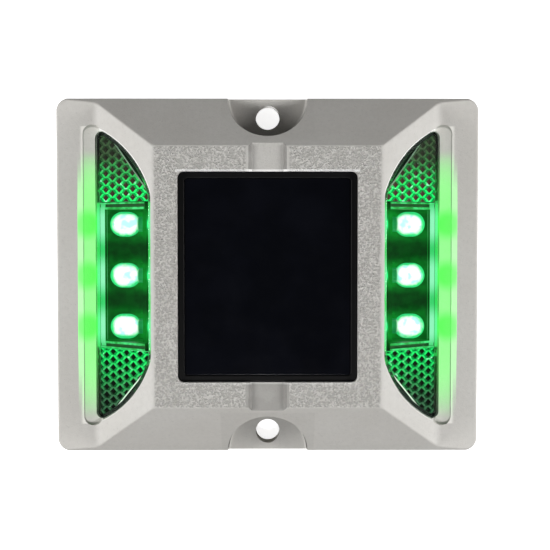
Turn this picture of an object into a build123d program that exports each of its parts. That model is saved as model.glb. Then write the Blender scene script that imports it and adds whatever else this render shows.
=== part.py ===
from math import asin, cos, degrees
import os

from build123d import *

# Raised pavement marker: a solar road stud with three LEDs on each of its two faces.
# Millimetres. The origin is the centre of the underside, +Z is up, +X is across the two lamp
# faces and +Y runs along the line of the two bolt holes.

# ---- housing ----
LENGTH = 123.0
WIDTH = 103.0
HEIGHT = 23.0
CORNER_R = 4.1
SKIRT_DRAFT = 1.2                    # degrees
LIP_X, LIP_Z = 61.25, 8.9            # outer edge of the apron in front of a lamp
LIP_Y, LIP_Y_Z = 51.25, 8.75         # outer edge of the north and south slopes
APRON_X, APRON_Z = 49.5, 10.04       # foot of the ramp
PLATEAU_X, PLATEAU_Y = 32.0, 36.6    # half sizes of the plateau
FOOT_R = 5.0
RAMP_TOP_R = 2.6
EDGE_R = 0.7

# ---- bolt pockets ----
BOLT_Y = 46.0
BOLT_HOLE_R = 3.5
POCKET_Y = 51.5
POCKET_FLOOR_Z = 6.0
POCKET_FLOOR_R = 11.5
POCKET_TOP_R = 12.1
BOSS_R = 15.0
BOSS_WALL_R = 17.5

# ---- solar window ----
WINDOW_X, WINDOW_Y = 50.4, 59.0
WINDOW_R = 1.7
PANEL_DEPTH = 1.2                    # plateau down to the panel's face
LEDGE_Z = 17.8
LEDGE_WIDTH = 3.0
DRAIN_TOP, DRAIN_FLOOR = 10.7, 8.9
DRAIN_DEPTH = 0.85
DRAIN_END_Y = 39.5

# ---- lamp faces: the lens plane falls from its inner edge to its outer edge ----
LENS_LOW_X, LENS_LOW_Z = 50.0, 7.9
LENS_HIGH_X, LENS_HIGH_Z = 32.8, 21.0
LENS_HIGH_Y = 23.2                   # where the straight inner edge ends
LENS_MID = (38.4, 33.8)              # a point on the curved end
LENS_TIP_Y = 42.8                    # tip of the curved end before rounding
LENS_TIP_R = 1.7
LENS_SHOULDER_R = 8.0
LENS_DROP = 2.05                     # lens thickness, measured straight down
SEAL_DROP = 0.55
SEAT_WIDTH = 0.9
SEAT_DROP = LENS_DROP + SEAL_DROP
SEAT_THICK = 2.4
LENS_CLEARANCE = 0.12
SHELF_X, SHELF_Z = 53.7, 9.6         # crease where the light shelf starts to sink
SHELF_INNER_X = 47.8
SHELF_Y = 43.6
SHELF_END_R = 2.8
SHELF_BOWL_R = 1.2

# ---- underside ----
PLATE_X, PLATE_Y = 110.0, 93.0
PLATE_R = 4.0
PLATE_T = 2.5
GASKET_T = 0.8
LAND_Z = PLATE_T + GASKET_T
CAVITY_X, CAVITY_Y = 98.2, 83.0
CAVITY_R = 3.0
CEILING_Z = 15.8
WALL_DROP = 4.24                     # wall under a 45 degree slope, measured straight down
FIT = 0.2                            # gap between parts that drop into each other
SCREW_QUARTER = [(51.6, 43.6), (24.0, 44.0)]
SCREW_POINTS = [(sx * x, sy * y) for x, y in SCREW_QUARTER for sx in (1, -1) for sy in (1, -1)]
SCREW_POINTS += [(51.9, 0.0), (-51.9, 0.0)]
SCREW_R = 1.25                       # M2.5
SCREW_HEAD_R = 2.35
SCREW_HEAD_T = 1.2
SCREW_SINK = 0.15                    # how far a head lies inside the plate
SCREW_SLOT_W, SCREW_SLOT_L, SCREW_SLOT_TOP_Z = 0.5, 2.4, 0.95
COUNTERSINK_T = 1.45
SCREW_LENGTH = 6.0
TAP_DEPTH = 6.4

# ---- lamps, on the east side: X runs outward ----
LED_BULB_R = 3.6
LED_BULB_RUN = 1.6                   # straight part between the bulb's two round ends
LED_NECK_R = 2.2
LED_FLANGE_R = 2.9
LED_FLANGE_T = 1.0
LED_BACK_X, LED_TIP_X = 33.8, 45.9
LED_Z = 7.05
LED_PITCH = 14.9
LED_SITES = {"south": -LED_PITCH, "middle": 0.0, "north": LED_PITCH}
LEG_R = 0.25
LEG_SPAN = 2.54
LEG_END_X = 31.0
HOLDER_X = (34.9, 48.9)
HOLDER_Y = 21.15
HOLDER_Z = 2.9
HOLDER_TOP_DROP = LENS_DROP + 0.1
CHAMBER_X = (36.0, 47.4)
CHAMBER_Y = 19.15
CHAMBER_FLOOR_Z = 3.4
BACK_WALL_TOP_Z = 11.9
GROOVE_Y = (19.8, 20.7)
GROOVE_DROP = 1.0
SADDLE_X = (36.0, 37.4)
SADDLE_HALF = 3.6
SADDLE_TOP_Z = 6.4
PEG_Y, PEG_Z, PEG_R = 7.2, 5.0, 0.9
LED_BOARD_X = (32.0, 33.6)
LED_BOARD_Z = (3.6, 14.8)
LED_BOARD_Y = 20.0
REFLECTOR_DROP = 1.9
REFLECTOR_Y = 21.4

# ---- solar module ----
FACE_Z = HEIGHT - PANEL_DEPTH
SEAL_GAP = 0.1
SEAL_RING_W = 1.8
SEAL_LIP_W, SEAL_LIP_T = 2.7, 0.8
MODULE_GAP = 0.05
COVER_T = 1.6
CELL_T = 0.3
CELL_COUNT = 6
CELL_MARGIN = 1.0
CELL_SPACE = 0.5
RIBBON_W, RIBBON_T = 1.6, 0.12
RIBBON_X = 11.0
MODULE_X = WINDOW_X - 2 * (SEAL_GAP + SEAL_RING_W + MODULE_GAP)
MODULE_Y = WINDOW_Y - 2 * (SEAL_GAP + SEAL_RING_W + MODULE_GAP)
MODULE_R = 0.8
CELL_TOP_Z = FACE_Z - COVER_T
BACKING_Z = LEDGE_Z + SEAL_LIP_T
BACKING_TOP_Z = CELL_TOP_Z - CELL_T - RIBBON_T

# ---- electronics ----
BOARD_T = 1.6
BOARD_X, BOARD_Y = 27.0, 52.0
BOARD_CENTRE_X = 15.5
BOARD_Z = 9.9                        # underside of the control board
BOARD_TOP_Z = BOARD_Z + BOARD_T
POST_POINTS = [(BOARD_CENTRE_X + sx * 10.5, sy * 23.0) for sx in (1, -1) for sy in (1, -1)]
POST_R = 2.6
BOARD_SCREW_R, BOARD_SCREW_HEAD_R = 1.0, 1.9
BOARD_SCREW_LENGTH = 5.0
BATTERY_R, BATTERY_LENGTH = 5.2, 44.5
BATTERY_WEST_X, BATTERY_EAST_X = -21.0, -10.0
BATTERY_Z = 9.0
NUB_R, NUB_L = 1.9, 0.8
TAB_T, TAB_Z0, TAB_Z1 = 0.15, 6.5, 11.5
TAB_Y = BATTERY_LENGTH / 2 + TAB_T
CRADLE_LENGTH, CRADLE_REACH = 36.0, 6.2
PAD_X, PAD_LENGTH, PAD_GAP = (-20.5, -5.5), 28.0, 0.05
WIRE_R = 0.55
UP, DOWN = (0, 0, 1), (0, 0, -1)     # directions of a wire at its ends
CHIP_X, CHIP_Y = 10.5, 6.0
CHIP_HALF_X, CHIP_HALF_Y = 2.0, 2.5
CHIP_LIFT, CHIP_T = 0.15, 1.6
CHIP_LEGS, CHIP_LEG_PITCH = 4, 1.27
CHIP_LEG_W, CHIP_LEG_T = 0.4, 0.2
CHIP_KNEE_X, CHIP_TOE_X, CHIP_KNEE_Z = 2.45, 3.0, 0.9
INDUCTOR_X, INDUCTOR_Y = 18.0, 8.0
INDUCTOR_R, INDUCTOR_CORE_R = 3.5, 2.2
INDUCTOR_H, INDUCTOR_CHEEK = 4.6, 0.8
INDUCTOR_TURNS = 6
CAPACITOR_X, CAPACITOR_Y = 10.5, -17.0
CAPACITOR_R, CAPACITOR_H = 3.15, 6.4
CAPACITOR_FOOT, CAPACITOR_FOOT_T = 3.3, 0.6
DIODE_PLACES = [(20.5, -1.0), (22.0, -16.0)]
DIODE_HALF_X, DIODE_HALF_Y, DIODE_T = 2.15, 1.3, 2.2
CHIP_PART_HALF_X, CHIP_PART_HALF_Y, CHIP_PART_T = 1.0, 0.6, 0.6
CHIP_PART_PITCH = 3.4
CHIP_PART_ROWS = [(8.0, 13.0, 3), (19.0, 16.0, 2), (8.0, -2.5, 3)]    # first X, Y, count

# ---- push button ----
BUTTON_X, BUTTON_Y = 15.5, -9.0
BUTTON_R, BUTTON_FACE_Z = 3.8, 0.4
BUTTON_RUN = 0.08                    # running clearance
FLANGE_R, FLANGE_Z, FLANGE_TOP_Z = 4.9, 4.3, 5.3
STEM_R, STEM_TOP_Z = 1.5, 6.4
WELL_R, WELL_DEPTH = 6.5, 1.3
SWITCH_FLANGE_R, SWITCH_Z = 6.6, 3.1
SWITCH_R, SWITCH_TOP_Z = 5.8, 9.8
SWITCH_BORE_R, SWITCH_LIP_Z, SWITCH_CEILING_Z = 5.0, 4.2, 9.0
PIN_R, PIN_X, PIN_TOP_Z = 0.4, 3.0, 12.3
SPRING_R, SPRING_WIRE_R, SPRING_TURNS = 3.4, 0.25, 2.5

TALL = 60.0                          # a reach longer than any part


# ---------------------------------------------------------------- shared shapes
def mirrored(points):
    """Completes a half outline, given from the +X side inward, with its mirror image."""
    return points + [(-x, z) for x, z in reversed(points)]


def profile_face(points, corners):
    """A closed outline with the named corners rounded: corners is a list of ((x, z), radius)."""
    face = make_face(Polyline(*points, close=True))
    for (x, z), radius in corners:
        picked = [v for v in face.vertices() if abs(abs(v.X) - x) < 0.01 and abs(v.Y - z) < 0.01]
        face = fillet(picked, radius)
    return face


def along_y(face, half=TALL):
    """Sweeps an outline drawn in X and Z along Y, both ways."""
    return extrude(Plane.XZ * face, amount=half, both=True)


def along_x(face, half=TALL):
    """Sweeps an outline drawn in Y and Z along X, both ways."""
    return extrude(Plane.YZ * face, amount=half, both=True)


def block(x0, x1, y0, y1, z0, z1):
    """An axis-aligned block between the given limits."""
    size = Box(x1 - x0, y1 - y0, z1 - z0)
    return Pos((x0 + x1) / 2, (y0 + y1) / 2, (z0 + z1) / 2) * size


def disc(radius, x, y, z0, z1):
    """An upright cylinder between two heights."""
    return Pos(x, y, (z0 + z1) / 2) * Cylinder(radius, z1 - z0)


def rod_x(radius, x0, x1, y, z):
    """A cylinder lying along X."""
    return Pos((x0 + x1) / 2, y, z) * Rot(0, 90, 0) * Cylinder(radius, abs(x1 - x0))


def rod_y(radius, x, y0, y1, z):
    """A cylinder lying along Y."""
    return Pos(x, (y0 + y1) / 2, z) * Rot(90, 0, 0) * Cylinder(radius, abs(y1 - y0))


def wire(points, leaves, arrives):
    """A round wire through the given points, with its directions at the two ends."""
    path = Spline(*points, tangents=(leaves, arrives))
    start = Plane(origin=path @ 0, z_dir=path % 0)
    return sweep(start * Circle(WIRE_R), path=path)


def group(pieces):
    """Several separate solids kept as one sub-part."""
    return Compound(children=[s for piece in pieces for s in piece.solids()])


def west(part):
    """The west side's copy of an east side part."""
    return mirror(part, about=Plane.YZ)


# ---------------------------------------------------------------- lens geometry
def lens_slope():
    return (LENS_HIGH_Z - LENS_LOW_Z) / (LENS_LOW_X - LENS_HIGH_X)


def lens_plane_z(x, drop):
    """Height of the plane that lies the given drop under the lens's outer face."""
    return LENS_LOW_Z + lens_slope() * (LENS_LOW_X - x) - drop


def lens_slab(top_drop, bottom_drop):
    """The layer between two planes parallel to the lens's outer face, on the east side."""
    near, far = 20.0, 62.0
    points = [
        (near, lens_plane_z(near, top_drop)),
        (far, lens_plane_z(far, top_drop)),
        (far, lens_plane_z(far, bottom_drop)),
        (near, lens_plane_z(near, bottom_drop)),
    ]
    return along_y(make_face(Polyline(*points, close=True)))


def lens_outline(margin=0.0):
    """The lens seen from above, on the east side, grown or shrunk by the margin."""
    high, low = (LENS_HIGH_X, LENS_HIGH_Y), (LENS_LOW_X, LENS_TIP_Y)
    north = ThreePointArc(high, LENS_MID, low)
    south = ThreePointArc((high[0], -high[1]), (LENS_MID[0], -LENS_MID[1]), (low[0], -low[1]))
    inner = Line(high, (high[0], -high[1]))
    outer = Line(low, (low[0], -low[1]))
    face = make_face([north, outer, south, inner])
    tips = [v for v in face.vertices() if v.X > LENS_MID[0]]
    face = fillet(tips, LENS_TIP_R)
    shoulders = [v for v in face.vertices() if v.X < LENS_HIGH_X + 0.01]
    face = fillet(shoulders, LENS_SHOULDER_R)
    if margin:
        face = offset(face, margin)
    return face


def lens_column(margin=0.0, z0=LAND_Z, z1=TALL):
    """The lens outline as an upright column."""
    return Pos(0, 0, z0) * extrude(lens_outline(margin), z1 - z0)


# ---------------------------------------------------------------- housing
def outer_shape():
    """The stud's outer form: a drafted skirt cut by two slopes, two ramps and their aprons."""
    ramp = [(LENGTH / 2, 0), (LIP_X, LIP_Z), (APRON_X, APRON_Z), (PLATEAU_X, HEIGHT)]
    slope = [(WIDTH / 2, 0), (LIP_Y, LIP_Y_Z), (PLATEAU_Y, HEIGHT)]
    rounded = [((APRON_X, APRON_Z), FOOT_R), ((PLATEAU_X, HEIGHT), RAMP_TOP_R)]
    skirt = extrude(RectangleRounded(LENGTH, WIDTH, CORNER_R), HEIGHT, taper=SKIRT_DRAFT)
    body = skirt & along_y(profile_face(mirrored(ramp), rounded))
    body = (body & along_x(profile_face(mirrored(slope), []), LENGTH)).solids()[0]
    edges = [e for e in body.edges() if e.center().Z > LIP_Z - 0.9]
    return body.fillet(EDGE_R, edges)


def boss_columns(radius, z1):
    """The two columns that surround the bolt pockets."""
    return [disc(radius, 0, side * POCKET_Y, -1, z1) for side in (1, -1)]


def cavity():
    """The hollow for the electronics, open at the bottom."""
    hollow = extrude(RectangleRounded(CAVITY_X, CAVITY_Y, CAVITY_R), CEILING_Z)
    top_y = PLATEAU_Y + HEIGHT - WALL_DROP - CEILING_Z
    drop_y = CAVITY_Y / 2
    ends = [(drop_y, 0), (drop_y, CEILING_Z - drop_y + top_y), (top_y, CEILING_Z)]
    hollow &= along_x(make_face(Polyline(*mirrored(ends), close=True)), LENGTH)
    under_seat = SEAT_DROP + SEAT_THICK
    reach = CAVITY_X / 2
    ramp_top = LENS_LOW_X - (CEILING_Z - LENS_LOW_Z + under_seat) / lens_slope()
    sides = [(reach, 0), (reach, lens_plane_z(reach, under_seat)), (ramp_top, CEILING_Z)]
    hollow &= along_y(make_face(Polyline(*mirrored(sides), close=True)))
    for boss in boss_columns(BOSS_WALL_R, TALL):
        hollow -= boss
    return hollow


def plate_outline(gap):
    """The base plate's outline, with a round notch for each bolt boss."""
    outline = RectangleRounded(PLATE_X + 2 * gap, PLATE_Y + 2 * gap, PLATE_R + gap)
    for side in (1, -1):
        outline -= Pos(0, side * POCKET_Y) * Circle(BOSS_R + FIT - gap)
    return outline


def pocket(side):
    """A bolt pocket: a slightly drafted round well open to the end of the stud."""
    depth = HEIGHT - POCKET_FLOOR_Z
    well = Cone(POCKET_FLOOR_R, POCKET_TOP_R, depth)
    well = fillet(well.edges().sort_by(Axis.Z)[0], 0.8)
    well = Pos(0, side * POCKET_Y, POCKET_FLOOR_Z + depth / 2) * well
    return well + disc(BOLT_HOLE_R, 0, side * BOLT_Y, -1, HEIGHT)


def drain():
    """The shallow channels that let water run off the panel at its north and south ends."""
    floor, top = DRAIN_FLOOR / 2, DRAIN_TOP / 2
    lean = (top - floor) / DRAIN_DEPTH
    outline = [(floor, HEIGHT - DRAIN_DEPTH), (top + lean, HEIGHT + 1.0)]
    return along_y(make_face(Polyline(*mirrored(outline), close=True)), DRAIN_END_Y)


def window():
    """The opening for the panel: a rebate with a ledge, and a hole through the roof."""
    rebate = Pos(0, 0, LEDGE_Z) * extrude(RectangleRounded(WINDOW_X, WINDOW_Y, WINDOW_R), HEIGHT)
    inner_x, inner_y = WINDOW_X - 2 * LEDGE_WIDTH, WINDOW_Y - 2 * LEDGE_WIDTH
    hole = extrude(RectangleRounded(inner_x, inner_y, WINDOW_R), HEIGHT)
    return rebate + hole


def light_shelf():
    """The shelf that sinks towards the lens, on the east side, with spoon-shaped ends."""
    fall = (SHELF_Z - LENS_LOW_Z) / (SHELF_X - LENS_LOW_X)
    inner_z = SHELF_Z - fall * (SHELF_X - SHELF_INNER_X)
    floor = [(SHELF_INNER_X, TALL), (SHELF_INNER_X, inner_z), (SHELF_X, SHELF_Z), (SHELF_X, TALL)]
    width = SHELF_X - SHELF_INNER_X
    plan = Pos(SHELF_INNER_X + width / 2, 0) * RectangleRounded(width, 2 * SHELF_Y, SHELF_END_R)
    tool = extrude(plan, TALL) & along_y(make_face(Polyline(*floor, close=True)))
    tool = tool.solids()[0]
    floor_face = tool.faces().sort_by(Axis.Z)[0]
    return tool.fillet(SHELF_BOWL_R, floor_face.edges())


def lens_opening():
    """The stepped opening for a lens, on the east side."""
    recess = lens_column(LENS_CLEARANCE) & lens_slab(-TALL, SEAT_DROP)
    through = lens_column(-SEAT_WIDTH) & lens_slab(-TALL, TALL)
    return recess + through


def make_housing():
    body = outer_shape()
    body -= cavity()
    body -= Pos(0, 0, -1) * extrude(plate_outline(FIT), LAND_Z + 1)
    body -= window()
    body -= drain()
    for side in (1, -1):
        body -= pocket(side)
    for cut in (light_shelf(), lens_opening()):
        body -= cut
        body -= west(cut)
    for x, y in SCREW_POINTS:
        body -= disc(SCREW_R + 0.02, x, y, 0, TAP_DEPTH)
    return body


# ---------------------------------------------------------------- underside
def make_base_plate():
    plate = extrude(plate_outline(0), PLATE_T)
    for x, y in SCREW_POINTS:
        plate -= disc(SCREW_R + 0.2, x, y, 0, PLATE_T)
        countersink = Cone(SCREW_HEAD_R + 0.25, SCREW_R + 0.15, COUNTERSINK_T)
        plate -= Pos(x, y, COUNTERSINK_T / 2) * countersink
    for x, y in POST_POINTS:
        plate += disc(POST_R, x, y, PLATE_T, BOARD_Z)
        plate -= disc(BOARD_SCREW_R + 0.02, x, y, PLATE_T + 1.5, BOARD_Z)
    plate -= disc(WELL_R, BUTTON_X, BUTTON_Y, 0, WELL_DEPTH)
    return plate - disc(BUTTON_R + BUTTON_RUN, BUTTON_X, BUTTON_Y, 0, PLATE_T)


def make_base_gasket():
    opening = RectangleRounded(CAVITY_X + 0.8, CAVITY_Y + 0.8, CAVITY_R)
    for side in (1, -1):
        opening -= Pos(0, side * POCKET_Y) * Circle(BOSS_WALL_R - 0.4)
    gasket = Pos(0, 0, PLATE_T) * extrude(plate_outline(-0.3) - opening, GASKET_T)
    for x, y in SCREW_POINTS:
        gasket -= disc(SCREW_R + 0.35, x, y, PLATE_T, LAND_Z)
    return gasket


def make_base_screws():
    """Countersunk screws with a cross slot, one to each screw point."""
    screws = []
    slots = ((SCREW_SLOT_W, SCREW_SLOT_L), (SCREW_SLOT_L, SCREW_SLOT_W))
    for x, y in SCREW_POINTS:
        head = Pos(x, y, SCREW_SINK + SCREW_HEAD_T / 2) * Cone(SCREW_HEAD_R, SCREW_R, SCREW_HEAD_T)
        neck_z = SCREW_SINK + SCREW_HEAD_T - 0.05
        screw = head + disc(SCREW_R, x, y, neck_z, SCREW_SINK + SCREW_LENGTH)
        for across, along in slots:
            west_x, south_y = x - across / 2, y - along / 2
            screw -= block(west_x, west_x + across, south_y, south_y + along, 0, SCREW_SLOT_TOP_Z)
        screws.append(screw)
    return group(screws)


# ---------------------------------------------------------------- lamps
def make_lens():
    lens = (lens_column() & lens_slab(0, LENS_DROP)).solids()[0]
    face = lens.faces().sort_by(Axis.Z)[-1]
    return lens.fillet(0.35, face.edges())


def make_lens_seal():
    ring = lens_column(-0.05) - lens_column(-SEAT_WIDTH)
    return ring & lens_slab(LENS_DROP, SEAT_DROP)


def make_reflector(side):
    """The prism plate under one end of the lens: side is 1 for north and -1 for south."""
    plate = lens_column(-SEAT_WIDTH - 0.15) & lens_slab(LENS_DROP, LENS_DROP + REFLECTOR_DROP)
    near, far = sorted((side * REFLECTOR_Y, side * TALL))
    return plate & block(0, TALL, near, far, 0, TALL)


def make_led_holder():
    """The dark tray that holds three LEDs, with a grooved divider rib at each end."""
    x0, x1 = HOLDER_X
    tray = block(x0, x1, -HOLDER_Y, HOLDER_Y, HOLDER_Z, TALL) & lens_slab(HOLDER_TOP_DROP, TALL)
    tray &= block(x0, x1, -HOLDER_Y, HOLDER_Y, HOLDER_Z, TALL)
    tray -= block(*CHAMBER_X, -CHAMBER_Y, CHAMBER_Y, CHAMBER_FLOOR_Z, TALL)
    tray -= block(x0, CHAMBER_X[0], -CHAMBER_Y, CHAMBER_Y, BACK_WALL_TOP_Z, TALL)
    for near, far in (GROOVE_Y, (-GROOVE_Y[1], -GROOVE_Y[0])):
        tray -= block(x0, x1, near, far, 0, TALL) & lens_slab(0, HOLDER_TOP_DROP + GROOVE_DROP)
    for y in LED_SITES.values():
        tray += block(*SADDLE_X, y - SADDLE_HALF, y + SADDLE_HALF, CHAMBER_FLOOR_Z, SADDLE_TOP_Z)
    for y in LED_SITES.values():
        tray -= rod_x(LED_NECK_R + 0.1, x0, SADDLE_X[1], y, LED_Z)
    for y in (PEG_Y, -PEG_Y):
        tray += rod_x(PEG_R, LED_BOARD_X[0] + 0.2, x0, y, PEG_Z)
    return tray


def make_led(y):
    """An oval LED lying along X: a bulb on a thinner neck, with its flange towards the middle."""
    front_x = LED_TIP_X - LED_BULB_R
    rear_x = front_x - LED_BULB_RUN
    neck_angle = asin(LED_NECK_R / LED_BULB_R)
    neck_end = (rear_x - LED_BULB_R * cos(neck_angle), LED_NECK_R)
    flange_x = LED_BACK_X + LED_FLANGE_T
    stem = [(LED_TIP_X, 0), (LED_BACK_X, 0), (LED_BACK_X, LED_FLANGE_R)]
    stem += [(flange_x, LED_FLANGE_R), (flange_x, LED_NECK_R), neck_end]
    rear = CenterArc((rear_x, 0), LED_BULB_R, 90, 90 - degrees(neck_angle))
    front = CenterArc((front_x, 0), LED_BULB_R, 0, 90)
    top = Line((rear_x, LED_BULB_R), (front_x, LED_BULB_R))
    profile = make_face([Polyline(*stem), rear, top, front])
    return Pos(0, y, LED_Z) * revolve(profile, Axis.X)


def leg_places():
    return [y + side * LEG_SPAN / 2 for y in LED_SITES.values() for side in (1, -1)]


def make_led_legs():
    return group([rod_x(LEG_R, LEG_END_X, LED_BACK_X, y, LED_Z) for y in leg_places()])


def make_led_board():
    board = block(*LED_BOARD_X, -LED_BOARD_Y, LED_BOARD_Y, *LED_BOARD_Z)
    for y in leg_places():
        board -= rod_x(LEG_R + 0.15, *LED_BOARD_X, y, LED_Z)
    for y in (PEG_Y, -PEG_Y):
        board -= rod_x(PEG_R + 0.1, *LED_BOARD_X, y, PEG_Z)
    return board


# ---------------------------------------------------------------- solar module
def module_layer(shrink, z0, z1):
    plan = RectangleRounded(MODULE_X - 2 * shrink, MODULE_Y - 2 * shrink, MODULE_R)
    return Pos(0, 0, z0) * extrude(plan, z1 - z0)


def make_panel_seal():
    outer_x, outer_y = WINDOW_X - 2 * SEAL_GAP, WINDOW_Y - 2 * SEAL_GAP
    outer = RectangleRounded(outer_x, outer_y, WINDOW_R - SEAL_GAP)
    ring_hole = RectangleRounded(outer_x - 2 * SEAL_RING_W, outer_y - 2 * SEAL_RING_W, MODULE_R)
    lip_hole = RectangleRounded(outer_x - 2 * SEAL_LIP_W, outer_y - 2 * SEAL_LIP_W, MODULE_R)
    ring = extrude(outer - ring_hole, FACE_Z - LEDGE_Z)
    ring = ring.solids()[0].fillet(0.3, ring.faces().sort_by(Axis.Z)[-1].edges())
    return Pos(0, 0, LEDGE_Z) * (ring + extrude(outer - lip_hole, SEAL_LIP_T))


def make_solar_cover():
    cover = module_layer(0, CELL_TOP_Z, FACE_Z)
    return fillet(cover.faces().sort_by(Axis.Z)[-1].edges(), 0.3)


def make_solar_cells():
    pitch = (MODULE_Y - 2 * CELL_MARGIN + CELL_SPACE) / CELL_COUNT
    half_x, half_y = MODULE_X / 2 - CELL_MARGIN, (pitch - CELL_SPACE) / 2
    middle = (CELL_COUNT - 1) / 2
    places = [(i - middle) * pitch for i in range(CELL_COUNT)]
    return group([
        block(-half_x, half_x, y - half_y, y + half_y, CELL_TOP_Z - CELL_T, CELL_TOP_Z)
        for y in places
    ])


def make_solar_ribbons():
    half_y = MODULE_Y / 2 - 2 * CELL_MARGIN
    top_z = BACKING_TOP_Z + RIBBON_T
    return group([
        block(x - RIBBON_W / 2, x + RIBBON_W / 2, -half_y, half_y, BACKING_TOP_Z, top_z)
        for x in (RIBBON_X, -RIBBON_X)
    ])


# ---------------------------------------------------------------- electronics
def make_control_board():
    x0, x1 = BOARD_CENTRE_X - BOARD_X / 2, BOARD_CENTRE_X + BOARD_X / 2
    board = block(x0, x1, -BOARD_Y / 2, BOARD_Y / 2, BOARD_Z, BOARD_TOP_Z)
    board = fillet(board.edges().filter_by(Axis.Z), 1.5)
    for x, y in POST_POINTS:
        board -= disc(BOARD_SCREW_R + 0.2, x, y, BOARD_Z, BOARD_TOP_Z)
    for side in (1, -1):
        board -= disc(PIN_R + 0.1, BUTTON_X + side * PIN_X, BUTTON_Y, BOARD_Z, BOARD_TOP_Z)
    return board


def make_board_screws():
    screws = []
    for x, y in POST_POINTS:
        shank = disc(BOARD_SCREW_R, x, y, BOARD_TOP_Z - BOARD_SCREW_LENGTH, BOARD_TOP_Z)
        head = disc(BOARD_SCREW_HEAD_R, x, y, BOARD_TOP_Z, BOARD_TOP_Z + 1.4)
        head = fillet(head.edges().sort_by(Axis.Z)[-1], 0.6)
        slot = block(x - 0.3, x + 0.3, y - 1.5, y + 1.5, BOARD_TOP_Z + 0.7, BOARD_TOP_Z + 2)
        screws.append(shank + head - slot)
    return group(screws)


def make_controller_chip():
    """A small-outline chip with four bent legs on each long side."""
    x, y, z = CHIP_X, CHIP_Y, BOARD_TOP_Z
    lid = (x - CHIP_HALF_X, x + CHIP_HALF_X, y - CHIP_HALF_Y, y + CHIP_HALF_Y)
    chip = block(*lid, z + CHIP_LIFT, z + CHIP_T)
    shoulder = (CHIP_HALF_X - 0.1, CHIP_KNEE_X, CHIP_KNEE_Z - CHIP_LEG_T, CHIP_KNEE_Z)
    shin = (CHIP_KNEE_X - CHIP_LEG_T, CHIP_KNEE_X, 0, CHIP_KNEE_Z)
    toe = (CHIP_KNEE_X - CHIP_LEG_T, CHIP_TOE_X, 0, CHIP_LEG_T)
    for i in range(CHIP_LEGS):
        south_y = y + (i - (CHIP_LEGS - 1) / 2) * CHIP_LEG_PITCH - CHIP_LEG_W / 2
        for side in (1, -1):
            for near, far, low, high in (shoulder, shin, toe):
                x0, x1 = sorted((x + side * near, x + side * far))
                chip += block(x0, x1, south_y, south_y + CHIP_LEG_W, z + low, z + high)
    return chip


def make_storage_inductor():
    """The drum core of the inductor."""
    z = BOARD_TOP_Z
    cheek_z = z + INDUCTOR_H - INDUCTOR_CHEEK
    core = disc(INDUCTOR_R, INDUCTOR_X, INDUCTOR_Y, z, z + INDUCTOR_CHEEK)
    core += disc(INDUCTOR_CORE_R, INDUCTOR_X, INDUCTOR_Y, z, z + INDUCTOR_H)
    return core + disc(INDUCTOR_R, INDUCTOR_X, INDUCTOR_Y, cheek_z, z + INDUCTOR_H)


def make_inductor_winding():
    """The copper winding between the drum's two cheeks, as rows of turns."""
    gap = 0.005
    wire_r = (INDUCTOR_H - 2 * INDUCTOR_CHEEK) / INDUCTOR_TURNS / 2 - gap
    rings = []
    for i in range(INDUCTOR_TURNS):
        z = BOARD_TOP_Z + INDUCTOR_CHEEK + (2 * i + 1) * (wire_r + gap)
        ring = Torus(INDUCTOR_CORE_R + wire_r + 4 * gap, wire_r)
        rings.append(Pos(INDUCTOR_X, INDUCTOR_Y, z) * ring)
    return group(rings)


def make_board_capacitor():
    """An upright electrolytic capacitor on its square foot, with a pressed neck."""
    x, y, z = CAPACITOR_X, CAPACITOR_Y, BOARD_TOP_Z
    foot = CAPACITOR_FOOT
    can = disc(CAPACITOR_R, x, y, z + CAPACITOR_FOOT_T, z + CAPACITOR_H)
    can = fillet(can.edges().sort_by(Axis.Z)[-1], 0.4)
    can -= Pos(x, y, z + 1.9) * Torus(CAPACITOR_R + 0.15, 0.35)
    return can + block(x - foot, x + foot, y - foot, y + foot, z, z + CAPACITOR_FOOT_T)


def make_diodes():
    z = BOARD_TOP_Z
    half_x, half_y = DIODE_HALF_X, DIODE_HALF_Y
    diodes = []
    for x, y in DIODE_PLACES:
        body = block(x - half_x, x + half_x, y - half_y, y + half_y, z + 0.1, z + DIODE_T)
        body += block(x - half_x - 0.35, x + half_x + 0.35, y - 0.7, y + 0.7, z, z + 1.2)
        diodes.append(body)
    return group(diodes)


def make_chip_parts():
    """Rows of small chip resistors and capacitors."""
    half_x, half_y = CHIP_PART_HALF_X, CHIP_PART_HALF_Y
    z0, z1 = BOARD_TOP_Z, BOARD_TOP_Z + CHIP_PART_T
    chips = []
    for first_x, y, count in CHIP_PART_ROWS:
        for i in range(count):
            x = first_x + CHIP_PART_PITCH * i
            chips.append(block(x - half_x, x + half_x, y - half_y, y + half_y, z0, z1))
    return group(chips)


def make_battery(x, side):
    """One rechargeable cell lying along Y, its positive nub at the north (1) or south (-1)."""
    end = BATTERY_LENGTH / 2
    if side > 0:
        can = rod_y(BATTERY_R, x, -end - NUB_L, end - NUB_L, BATTERY_Z)
        nub = rod_y(NUB_R, x, end - NUB_L, end, BATTERY_Z)
    else:
        can = rod_y(BATTERY_R, x, -end, end, BATTERY_Z)
        nub = rod_y(NUB_R, x, -end - NUB_L, -end, BATTERY_Z)
    rims = [e for e in can.edges() if e.geom_type == GeomType.CIRCLE]
    return fillet(rims, 0.4) + nub


def make_battery_tabs():
    end = BATTERY_LENGTH / 2
    west_x, east_x = BATTERY_WEST_X, BATTERY_EAST_X
    south = block(west_x - 2.5, east_x + 2.5, -end - NUB_L - TAB_T, -end - NUB_L, TAB_Z0, TAB_Z1)
    north = [block(x - 2.5, x + 2.5, end, end + TAB_T, TAB_Z0, TAB_Z1) for x in (west_x, east_x)]
    return group([south] + north)


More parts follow.
